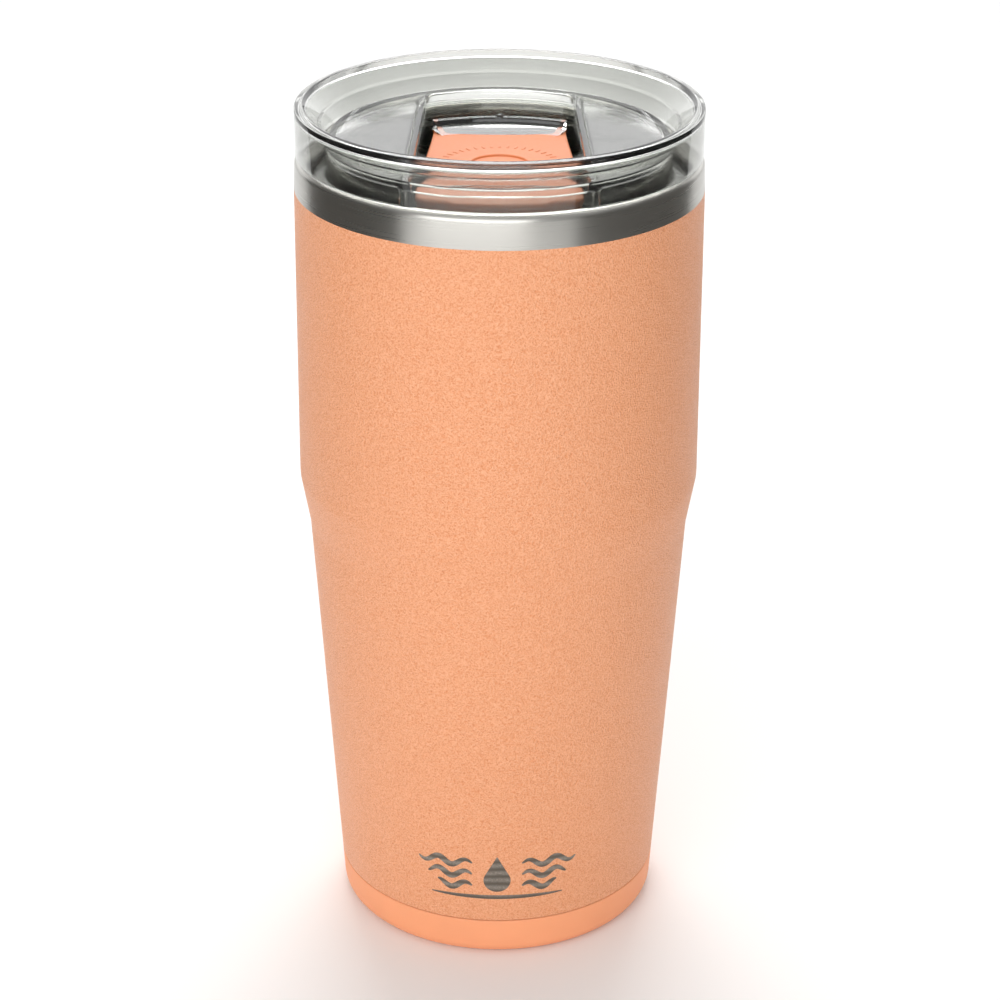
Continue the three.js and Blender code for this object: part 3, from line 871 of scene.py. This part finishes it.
@dataclass
class Lid:
    """The clear lid: rim, deck with its channel and plug, gasket and hinge pin. Sizes are in millimetres."""

    top: float = field(default_factory=lambda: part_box("lid_rim")[1].z / MM)
    rim: float = 41.5
    rim_inner: float = 39.8
    drop: float = 6.6
    rim_wall: float = 1.0
    skirt_drop: float = 3.5
    toe: float = 33.8
    wall: float = 1.8
    plug: float = 37.0
    plug_low: float = 154.6
    groove: float = 35.0
    groove_low: float = 156.0
    groove_high: float = 159.6
    floor_z: float = 162.0
    seat_z: float = 163.6
    channel_near: float = -31.4
    channel_far: float = 29.8
    near_half: float = 17.3
    far_half: float = 15.4
    bow: float = 2.3
    # The rails beside the channel fade out over rail_run as the channel's edge nears the radius rail_end.
    rail_end: float = 33.2
    rail_run: float = 1.4
    # Where the rim's inner slope changes its angle, as (radius, height).
    slope_crease: tuple[tuple[float, float], tuple[float, float]] = ((36.7, 177.6), (36.1, 177.2))
    sip: tuple[float, float, float] = (10.5, 8.0, 2.6)
    straw: tuple[float, float] = (-9.0, 4.7)
    points: int = 640

    @property
    def deck(self) -> float:
        """Height of the deck's top face."""
        return self.top - self.drop

    @property
    def ledge(self) -> float:
        """Height of the underside of the flange that joins the skirt to the deck."""
        return self.deck - self.wall - 6.1

    def channel(self) -> np.ndarray:
        """Plan of the channel: sides that close in towards the far end, and a far wall that bows outwards."""
        across = np.linspace(self.far_half, -self.far_half, 41)
        far = self.channel_far - self.bow * 2 * (across / self.far_half) ** 2
        keep = np.abs(across) < self.far_half - 1.0
        wall = [(a, f, 0.0) for a, f in zip(across[keep][1:-1], far[keep][1:-1])]
        corners = [
            (-self.near_half, self.channel_near, 3.6),
            (self.near_half, self.channel_near, 3.6),
            (self.far_half, self.channel_far - self.bow * 2 + 0.8, 3.6),
            *wall[6:-6],
            (-self.far_half, self.channel_far - self.bow * 2 + 0.8, 3.6),
        ]
        return evenly(rounded(corners, 10, closed=True), self.points)

    def slot(self, grow: float, count: int = 96) -> np.ndarray:
        """Plan of the sip slot with round ends, made larger by `grow`."""
        y, half, depth = self.sip
        half, depth = half + grow, depth + grow
        bend = depth - 0.001
        near, far = y - depth, y + depth
        corners = [(-half, near, bend), (half, near, bend), (half, far, bend), (-half, far, bend)]
        return evenly(rounded(corners, 12, closed=True), count)

    def moulding(self) -> None:
        """The rim, the deck, its channel and the plug: two mouldings welded clear, so light sees one body.

        The surface is a stack of outlines: out along the underside, up the skirt, under the sloping wall and
        round the rim, then down the slope, over the deck and into the channel. Each outline is the channel's
        plan moved along its normals, or a circle at the same angles.
        """
        plan = self.channel()
        normal = outward(plan)
        angle = np.arctan2(plan[:, 1], plan[:, 0])
        unit = np.stack([np.cos(angle), np.sin(angle)], axis=1)
        edge = np.linalg.norm(plan, axis=1) / MM
        fade = np.clip((self.rail_end - edge) / self.rail_run, 0, 1)

        def moved(
            by: float, height: float | np.ndarray, limit: float
        ) -> tuple[np.ndarray, float | np.ndarray]:
            """The channel's plan moved outwards, kept inside a circle of radius `limit`."""
            line = plan + normal * by * MM
            reach = np.linalg.norm(line, axis=1, keepdims=True)
            return line * np.minimum(1, limit * MM / reach), height * MM

        wall, deck, floor = self.wall, self.deck, self.floor_z
        skirt = self.plug - wall
        low = floor - wall
        under = [
            moved(wall - 1.0, low, 33.0),
            moved(wall - 0.3, low + 0.2, 34.5),
            moved(wall, low + 0.9, skirt - 0.6),
            moved(wall, deck - wall - 0.8, skirt - 0.6),
            moved(wall + 0.3, deck - wall, skirt - 0.5),
        ]
        step = np.maximum(self.toe - 0.8, np.linalg.norm(under[-1][0], axis=1) / MM + 0.12)[:, None] * MM
        under += [
            (unit * step, (deck - wall) * MM),
            (unit * (step + 0.25 * MM), (deck - wall - 0.25) * MM),
            (unit * (step + 0.25 * MM), (self.ledge + 0.4) * MM),
            (unit * (step + 0.4 * MM), self.ledge * MM),
        ]
        run, rise = self.rim_inner - self.toe, self.drop
        length = math.hypot(run, rise)
        thin = self.rim_wall
        inner = self.toe + thin * rise / length
        inner_z = deck - thin * run / length
        hollow = self.rim - thin
        bottom = deck - self.skirt_drop
        outside = rounded(
            [
                (skirt - 0.02, self.ledge - 0.02, 0),
                (skirt, low, 0.3),
                (self.groove - wall, self.groove_high - 0.6, 0.3),
                (self.groove - wall, self.plug_low, 0.4),
                (self.plug, self.plug_low, 0.9),
                (self.plug, self.groove_low, 0.15),
                (self.groove, self.groove_low, 0.15),
                (self.groove, self.groove_high, 0.15),
                (self.plug, self.groove_high, 0.15),
                (self.plug, self.ledge + wall, 0.6),
                (inner, self.ledge + wall, 0.5),
                (inner, inner_z, 0.8),
                (hollow, inner_z + (hollow - inner) * rise / run, 0.6),
                (hollow, bottom, 0.3),
                (self.rim, bottom, 0.3),
                (self.rim, self.top - 0.25, 0.5),
                (self.rim_inner, self.top + 0.02, 0.5),
                (*self.slope_crease[0], 0.6),
                (*self.slope_crease[1], 0.4),
                (self.toe + 0.4, deck, 0.4),
                (self.toe + 0.2, deck, 0),
            ],
            6,
        )
        rail = 0.5 * fade
        over = [
            moved(1.9, deck, 33.97),
            moved(1.6, deck + 0.1 * rail, 33.95),
            moved(1.35, deck + 0.5 * rail, 33.93),
            moved(1.15, deck + 0.9 * rail, 33.91),
            moved(0.9, deck + rail, 33.89),
            moved(0.45, deck + rail, 33.87),
            moved(0.15, deck + 0.8 * rail, 33.85),
            moved(0.02, deck + 0.2 * rail - 0.1, 33.83),
            moved(0.0, deck - 1.0, 33.8),
            moved(-0.1, floor + 0.8, 33.75),
            moved(-0.35, floor + 0.2, 33.6),
            moved(-0.9, floor, 33.2),
            moved(-2.5, floor, 31.5),
        ]
        rings = under + [(unit * radius, height) for radius, height in outside] + over
        piece = stacked("clear_moulding", rings, Ends.CAPPED)
        seat = self.slot(1.2)
        raised = [(seat, (low + 0.4) * MM), (seat, self.seat_z * MM)]
        carve(piece, stacked("seat", raised, Ends.CAPPED), Cut.JOIN)
        carve(piece, self.plinth("collar", self.straw[1] + 1.2, low + 0.4, self.seat_z), Cut.JOIN)
        hole = self.slot(0.0)
        through = [(hole, (low - 2) * MM), (hole, (self.seat_z + 1) * MM)]
        carve(piece, stacked("hole", through, Ends.CAPPED), Cut.REMOVE)
        carve(piece, self.plinth("bore", self.straw[1], low - 2, self.seat_z + 1), Cut.REMOVE)
        fit_out(piece, CLEAR, "lid", "clear_plastic", "lid_rim", "lid_deck")

    def plinth(self, name: str, radius: float, low: float, high: float) -> bpy.types.Object:
        """A short upright cylinder round the straw hole's axis."""
        corners = [(0.3, low, 0), (radius, low, 0), (radius, high, 0), (0.3, high, 0)]
        return turned(name, rounded(corners), Ends.CAPPED, (0, self.straw[0] * MM), 96)

    def gasket(self) -> None:
        """The gasket: a silicone ring with two soft fins that press on the neck."""
        low, high = self.groove_low + 0.3, self.groove_high - 0.3
        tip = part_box("lid_gasket")[1].x / MM
        middle = (low + high) / 2
        corners = [
            (self.groove + 0.3, low, 0.1),
            (self.plug - 0.4, low, 0.2),
            (tip, low + 0.7, 0.3),
            (self.plug - 0.4, middle, 0.3),
            (tip, high - 0.4, 0.3),
            (self.plug - 0.6, high, 0.2),
            (self.groove + 0.3, high, 0.1),
        ]
        piece = turned("gasket_ring", rounded(corners, 5, closed=True), Ends.JOINED)
        fit_out(piece, SEAL, "lid", "seal_silicone", "lid_gasket")

    def pin(self) -> None:
        """The hinge pin: a ground rod with chamfered ends, turned upright and then laid along X."""
        low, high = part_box("hinge_pin")
        radius, half = (high.z - low.z) / 2 / MM, (high.x - low.x) / 2 / MM
        corners = [
            (0.1, -half, 0),
            (radius - 0.3, -half, 0.05),
            (radius, -half + 0.3, 0.05),
            (radius, half - 0.3, 0.05),
            (radius - 0.3, half, 0.05),
            (0.1, half, 0),
        ]
        piece = turned("hinge_rod", rounded(corners, 3), Ends.CAPPED, turns=48)
        middle = (low + high) / 2
        piece.data.transform(Matrix.Translation(middle) @ Matrix.Rotation(math.pi / 2, 4, "Y"))
        fit_out(piece, PIN_STEEL, "lid", "bare_steel", "hinge_pin")

    def build(self) -> None:
        """Builds every piece of the lid."""
        self.moulding()
        self.gasket()
        self.pin()


@dataclass
class Lever:
    """The flip lever: opaque cover, clear carrier and the two soft seals. Sizes are in millimetres."""

    lid: Lid
    top: float = 170.8
    thick: float = 1.2
    near: float = -30.0
    near_half: float = 16.4
    ear_half: float = 13.5
    ear_tip: float = 15.9
    notch: float = 11.6
    notch_end: float = 12.2
    nose_drop: float = 3.7
    arc_centre: float = -15.4
    bar: float = 34.0
    bar_top: float = 172.9
    carrier_low: float = 167.9
    hinge: tuple[float, float] = (-26.0, 167.4)
    barrel: float = 2.0
    barrel_half: float = 16.0
    points: int = 480

    def plan(self) -> np.ndarray:
        """Plan of the cover: a gently bowed near edge, tapering sides, and two ears round a finger notch."""
        bow = np.linspace(-1, 1, 13)[2:-2]
        near = [(b * (self.near_half - 3.2), self.near + 0.8 * b * b, 0.0) for b in bow]
        curve = np.linspace(1, -1, 15)[1:-1]
        notch = [(c * 10.0, self.notch + (self.notch_end - self.notch) * c * c, 0.0) for c in curve]
        corners = [
            (-self.near_half + 0.2, self.near + 1.1, 3.0),
            *near,
            (self.near_half - 0.2, self.near + 1.1, 3.0),
            (self.near_half, self.near + 5.0, 20.0),
            (self.ear_half, self.ear_tip + 0.1, 0.5),
            (self.ear_half - 1.3, self.ear_tip - 0.3, 0.5),
            (11.2, self.notch_end + 0.1, 1.2),
            *notch,
            (-11.2, self.notch_end + 0.1, 1.2),
            (-self.ear_half + 1.3, self.ear_tip - 0.3, 0.5),
            (-self.ear_half, self.ear_tip + 0.1, 0.5),
            (-self.near_half, self.near + 5.0, 20.0),
        ]
        return evenly(rounded(corners, 10, closed=True), self.points)

    def cover(self) -> None:
        """The cover: a plate with rounded edges, turned down at its nose, with a raised ring and ticks."""
        plan = self.plan()
        normal = outward(plan)
        nose = np.clip((-27.2 * MM - plan[:, 1]) / (1.6 * MM), 0, 1)
        nose = nose * nose * (3 - 2 * nose)
        edge = (0.45 + 0.75 * nose) * MM
        low = (self.top - self.thick) * MM - (self.nose_drop - self.thick) * MM * nose
        top = self.top * MM
        lift = np.linspace(0, math.pi / 2, 9)

        ear = np.clip((plan[:, 1:] / MM - 8.0) / 3.0, 0, 1)

        def inset(by: np.ndarray | float) -> np.ndarray:
            """The plan moved inwards, less so on the thin ears."""
            return plan - normal * np.reshape(by, (-1, 1)) * (1 - 0.65 * ear)

        rounding = [(inset(edge * (1 - math.cos(a))), top - edge * (1 - math.sin(a))) for a in lift]
        under = (self.top - self.thick) * MM
        inner = 1.2 * MM
        rings = [
            (inset(inner + 0.3 * MM), np.full(len(plan), under)),
            (inset(inner), under - 0.02 * MM * nose),
            (inset(inner), low + 0.1 * MM * nose),
            (inset(inner - 0.15 * MM), low),
            (inset(0.2 * MM), low),
            (inset(0.0), low + 0.2 * MM),
            *rounding,
            (inset(edge + 0.3 * MM), np.full(len(plan), top)),
        ]
        plate = stacked("plate", rings, Ends.CAPPED)
        y = self.lid.straw[0] * MM
        foot, crown = self.top - 0.3, self.top + 0.4
        band = rounded([(5.55, foot, 0), (7.15, foot, 0), (6.9, crown, 0.45), (5.8, crown, 0.45)], 8, True)
        raised = [plate, turned("raised_ring", band, Ends.JOINED, (0, y), 128)]
        for angle in np.radians(np.arange(-64, 65, 8) + 90):
            raised.append(self.tick(12.0, angle, y))
        piece = gathered("lever_shell", raised)
        fit_out(piece, LEVER, "lever", "lever_plastic", "lever_cover")

    def tick(self, reach: float, angle: float, y: float) -> bpy.types.Object:
        """One short raised bar of the dial round the ring.

        Args:
            reach: Its distance from the ring's centre.
            angle: Where it stands, in radians.
            y: The centre's place along Y, in metres.

        Returns:
            The solid, sunk a little into the cover.
        """
        corners = [(-0.28, -0.75, 0.25), (0.28, -0.75, 0.25), (0.28, 0.75, 0.25), (-0.28, 0.75, 0.25)]
        plan = rounded(corners, 3, True)
        turn = np.array([[math.sin(angle), -math.cos(angle)], [math.cos(angle), math.sin(angle)]])
        plan = plan @ turn + np.array([math.cos(angle), math.sin(angle)]) * reach * MM + np.array([0, y])
        middle = plan.mean(0)
        rings = [
            (plan, (self.top - 0.2) * MM),
            (plan, (self.top + 0.06) * MM),
            (middle + (plan - middle) * 0.8, (self.top + 0.12) * MM),
        ]
        return stacked("tick", rings, Ends.CAPPED)

    def scoop(self) -> bpy.types.Object:
        """The scooped thumb lip past the cover: an arc of constant section that narrows into the notch.

        Across runs from side to side and the section runs over the top: each point lies on a circle about
        the arc's centre, y = centre + sqrt(radius^2 - x^2), with the half width falling towards the notch.
        """
        section = rounded(
            [
                (self.bar, self.carrier_low + 1.4, 0),
                (self.bar, self.bar_top, 0.5),
                (self.bar - 1.6, self.bar_top, 0.55),
                (self.bar - 2.1, self.bar_top - 1.25, 1.0),
                (self.notch - self.arc_centre + 0.3, self.top - 0.35, 0.1),
                (self.notch - self.arc_centre + 0.25, self.carrier_low + 1.4, 0),
            ],
            10,
        )
        radius, height = section[:, 0], section[:, 1]
        share = np.clip((radius / MM - 28.2) / 3.6, 0, 1)
        half = (11.0 + 2.9 * share * share * (3 - 2 * share)) * MM
        across = np.linspace(-1, 1, 61)
        x = across[:, None] * half[None, :]
        y = self.arc_centre * MM + np.sqrt(radius[None, :] ** 2 - x**2)
        z = np.broadcast_to(height, x.shape)
        rows = np.stack([x, y, z], axis=-1)
        return surface("scoop", rows, Ends.CAPPED)

    def carrier(self) -> None:
        """The carrier: a plate under the cover, the hinge barrel across it, and the scooped thumb lip."""
        top = self.top - self.thick - 0.3
        low = self.carrier_low
        outline = [
            (-15.6, self.hinge[0] + 0.2, 0.3),
            (15.6, self.hinge[0] + 0.2, 0.3),
            (13.6, 15.6, 2.0),
            (8.0, 17.4, 8.0),
            (-8.0, 17.4, 8.0),
            (-13.6, 15.6, 2.0),
        ]
        plan = evenly(rounded(outline, 10, closed=True), 320)
        normal = outward(plan)
        rings = [
            (plan - normal * 0.7 * MM, low * MM),
            (plan - normal * 0.25 * MM, low * MM),
            (plan, (low + 0.25) * MM),
            (plan, (top - 0.25) * MM),
            (plan - normal * 0.25 * MM, top * MM),
            (plan - normal * 0.7 * MM, top * MM),
        ]
        piece = stacked("lever_frame", rings, Ends.CAPPED)
        carve(piece, self.rod("barrel", self.barrel, self.barrel_half), Cut.JOIN)
        carve(piece, self.scoop(), Cut.JOIN)
        foot, crown = self.bar_top - 0.8, self.bar_top + 0.55
        nub = rounded([(0.1, foot, 0), (0.9, foot, 0), (0.9, crown, 0.8), (0.1, crown, 0)], 6)
        carve(piece, turned("nub", nub, Ends.CAPPED, (0, 17.8 * MM), 32), Cut.JOIN)
        carve(piece, self.rod("bore", 1.3, 20), Cut.REMOVE)
        fit_out(piece, CLEAR, "lever", "clear_plastic", "lever_carrier")

    def rod(self, name: str, radius: float, half: float) -> bpy.types.Object:
        """A solid rod along the hinge axis."""
        corners = [(0.1, -half, 0), (radius, -half, 0.15), (radius, half, 0.15), (0.1, half, 0)]
        piece = turned(name, rounded(corners, 4), Ends.CAPPED, turns=64)
        place = Vector((0, self.hinge[0], self.hinge[1])) * MM
        piece.data.transform(Matrix.Translation(place) @ Matrix.Rotation(math.pi / 2, 4, "Y"))
        return piece

    def seals(self) -> None:
        """The sip seal and the straw seal: a flange over the seat and a nose that enters the opening."""
        high = self.carrier_low - 0.3
        flange = self.lid.seat_z + 0.3
        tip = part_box("sip_seal")[0].z / MM
        steps = [
            (-1.1, tip),
            (-0.7, tip + 0.2),
            (-0.5, tip + 0.7),
            (-0.45, flange - 0.2),
            (0.6, flange),
            (0.9, flange + 0.3),
            (0.9, high - 0.3),
            (0.6, high),
        ]
        rings = [(self.lid.slot(grow), height * MM) for grow, height in steps]
        piece = stacked("sip_plug", rings, Ends.CAPPED)
        fit_out(piece, SEAL, "lever", "seal_silicone", "sip_seal")
        y, radius = self.lid.straw
        corners = [
            (0.4, tip, 0),
            (radius - 1.1, tip, 0.5),
            (radius - 0.5, flange, 0.2),
            (radius + 0.9, flange, 0.3),
            (radius + 0.9, high, 0.3),
            (0.4, high, 0),
        ]
        piece = turned("straw_plug", rounded(corners), Ends.CAPPED, (0, y * MM), 96)
        fit_out(piece, SEAL, "lever", "seal_silicone", "straw_seal")

    def build(self) -> None:
        """Builds every piece of the lever."""
        self.cover()
        self.carrier()
        self.seals()


# ---------------------------------------------------------------------------------------------------------
# The studio
# ---------------------------------------------------------------------------------------------------------


@dataclass
class Studio:
    """Pale floor, soft lights, dark grey flags beside the tumbler, and the camera. Sizes are in metres.

    Attributes:
        height: Height of the tumbler.
        distance: How far in front of the tumbler the camera stands.
        rise: How far above the tumbler's top the camera stands.
        pitch: How far down it looks, in degrees.
        roll: How far it leans, in degrees.
        yaw: How far it turns sideways, in degrees.
        lens: Its focal length in millimetres.
        key_watts: Power of the front light.
        top_watts: Power of the overhead light.
        reach: Half the floor's width.
        floor_fade: Distances from the tumbler between which the floor fades to white for the camera.
        flag_side: How far to each side the flags stand.
        flag_far: Far end of both flags.
        flag_top: Height of the flags.
    """

    height: float
    distance: float = 0.5377
    rise: float = 0.1560
    pitch: float = 24.425
    roll: float = 0.215
    yaw: float = 0.037
    lens: float = 98.96
    key_watts: float = 11.7
    top_watts: float = 7.0
    reach: float = 4.0
    floor_fade: tuple[float, float] = (0.95, 1.35)
    flag_side: float = 0.2
    flag_far: float = 0.13
    flag_top: float = 0.3

    def camera(self) -> None:
        """The camera: level with the front, looking down at the lid, a long lens with no shift."""
        p, y, r = (math.radians(a) for a in (self.pitch, self.yaw, self.roll))
        ahead = Vector((math.sin(y) * math.cos(p), math.cos(y) * math.cos(p), -math.sin(p)))
        right = Vector((math.cos(y), -math.sin(y), 0))
        up = right.cross(ahead)
        turned_right = right * math.cos(r) + up * math.sin(r)
        turned_up = up * math.cos(r) - right * math.sin(r)
        data = bpy.data.cameras.new("camera")
        data.lens = self.lens
        data.sensor_width = 36
        data.clip_start = 0.01
        lens = bpy.data.objects.new("camera", data)
        basis = Matrix((turned_right, turned_up, -ahead)).transposed().to_4x4()
        lens.matrix_world = Matrix.Translation((0, -self.distance, self.height + self.rise)) @ basis
        bpy.context.scene.collection.objects.link(lens)
        bpy.context.scene.camera = lens

    def panel(self, name: str, place: Vector, aim: Vector, size: tuple[float, float], watts: float) -> None:
        """A softbox.

        Args:
            name: Name of the light.
            place: Where it hangs.
            aim: The point that it faces.
            size: Its width and height.
            watts: Its power.
        """
        data = bpy.data.lights.new(name, "AREA")
        data.shape = "RECTANGLE"
        data.size, data.size_y = size
        data.energy = watts
        light = bpy.data.objects.new(name, data)
        facing = (aim - place).to_track_quat("-Z", "Y").to_matrix().to_4x4()
        light.matrix_world = Matrix.Translation(place) @ facing
        light.visible_camera = False
        bpy.context.scene.collection.objects.link(light)

    def card(
        self, name: str, corners: list[tuple[float, float, float]], finish: bpy.types.Material
    ) -> bpy.types.Object:
        """A flat card that belongs to the studio."""
        mesh = bpy.data.meshes.new(name)
        mesh.from_pydata(corners, [], [(0, 1, 2, 3)])
        mesh.materials.append(finish)
        piece = bpy.data.objects.new(name, mesh)
        bpy.context.scene.collection.objects.link(piece)
        return piece

    def world(self) -> None:
        """A pale room: bright behind the tumbler and overhead, dim at the sides, white to the camera."""
        world = bpy.data.worlds.new("studio")
        bpy.context.scene.world = world
        world.use_nodes = True
        tree = world.node_tree
        tree.nodes.clear()
        way = add_node(tree, "ShaderNodeTexCoord").outputs["Generated"]
        apart = add_node(tree, "ShaderNodeSeparateXYZ", {0: way})
        behind = add_node(tree, "ShaderNodeMapRange", {0: apart.outputs[1], 1: 0.45, 2: 0.9, 3: 0.47, 4: 1.5})
        above = add_node(tree, "ShaderNodeMapRange", {0: apart.outputs[2], 1: 0.35, 2: 0.8, 3: 0.0, 4: 0.6})
        room = add_node(
            tree, "ShaderNodeMath", {0: behind.outputs[0], 1: above.outputs[0]}, operation="MAXIMUM"
        )
        seen = add_node(tree, "ShaderNodeLightPath").outputs["Is Camera Ray"]
        level = add_node(tree, "ShaderNodeMix", {0: seen, 2: room.outputs[0], 3: 1.0}, data_type="FLOAT")
        light = add_node(tree, "ShaderNodeBackground", {"Color": (1, 1, 1, 1), "Strength": level.outputs[0]})
        add_node(tree, "ShaderNodeOutputWorld", {"Surface": light.outputs[0]})

    def floor(self) -> None:
        """The floor: pale paint, faded to white for the camera only, beyond what the lights reach.

        Behind the front light nothing lights the floor, so from the back it would show as a hard grey band.
        The fade softens that band but leaves a faint grey edge in some rear views. The glow is seen by the
        camera alone and lights nothing.
        """
        pale = bpy.data.materials.new("painted_floor")
        pale.use_nodes = True
        tree = pale.node_tree
        shader = tree.nodes["Principled BSDF"]
        shader.inputs["Base Color"].default_value = linear("#F4F4F3")
        shader.inputs["Roughness"].default_value = 0.8
        near, white = self.floor_fade
        spot = add_node(tree, "ShaderNodeTexCoord").outputs["Object"]
        out = add_node(tree, "ShaderNodeVectorMath", {0: spot}, operation="LENGTH")
        far = add_node(
            tree, "ShaderNodeMapRange", {0: out.outputs["Value"], 1: near, 2: white, 3: 0.0, 4: 1.0}
        )
        seen = add_node(tree, "ShaderNodeLightPath").outputs["Is Camera Ray"]
        glow = add_node(tree, "ShaderNodeMath", {0: far.outputs[0], 1: seen}, operation="MULTIPLY")
        shader.inputs["Emission Color"].default_value = (1, 1, 1, 1)
        tree.links.new(glow.outputs[0], shader.inputs["Emission Strength"])
        edge = self.reach
        self.card("floor", [(-edge, -edge, 0), (edge, -edge, 0), (edge, edge, 0), (-edge, edge, 0)], pale)

    def flags(self) -> None:
        """Two cards beside the tumbler, seen only in reflections, that darken the edges of its steel."""
        grey = bpy.data.materials.new("grey_flag")
        grey.use_nodes = True
        shader = grey.node_tree.nodes["Principled BSDF"]
        shader.inputs["Base Color"].default_value = linear("#5A5A58")
        shader.inputs["Roughness"].default_value = 0.9
        far, top = self.flag_far, self.flag_top
        for name, side, near in (("flag_left", -1, -0.165), ("flag_right", 1, -0.24)):
            x = side * self.flag_side
            flag = self.card(name, [(x, near, 0.001), (x, far, 0.001), (x, far, top), (x, near, top)], grey)
            flag.visible_camera = False
            flag.visible_diffuse = False
            flag.visible_shadow = False

    def build(self) -> None:
        """Builds the studio."""
        self.camera()
        self.world()
        self.panel("key", Vector((-0.3, -1.25, 0.6)), Vector((0, 0, 0.1)), (1.5, 0.9), self.key_watts)
        self.panel("overhead", Vector((0.0, 0.68, 1.0)), Vector((0, 0, 0.17)), (0.6, 0.66), self.top_watts)
        self.floor()
        self.flags()
        bpy.context.scene.view_settings.view_transform = "Standard"


def main() -> None:
    """Builds the tumbler and its studio."""
    logging.basicConfig(level=logging.INFO, format="%(message)s")
    SteelBody().build()
    lid = Lid()
    lid.build()
    Lever(lid).build()
    Studio(lid.top * MM).build()


if __name__ == "__main__":
    main()
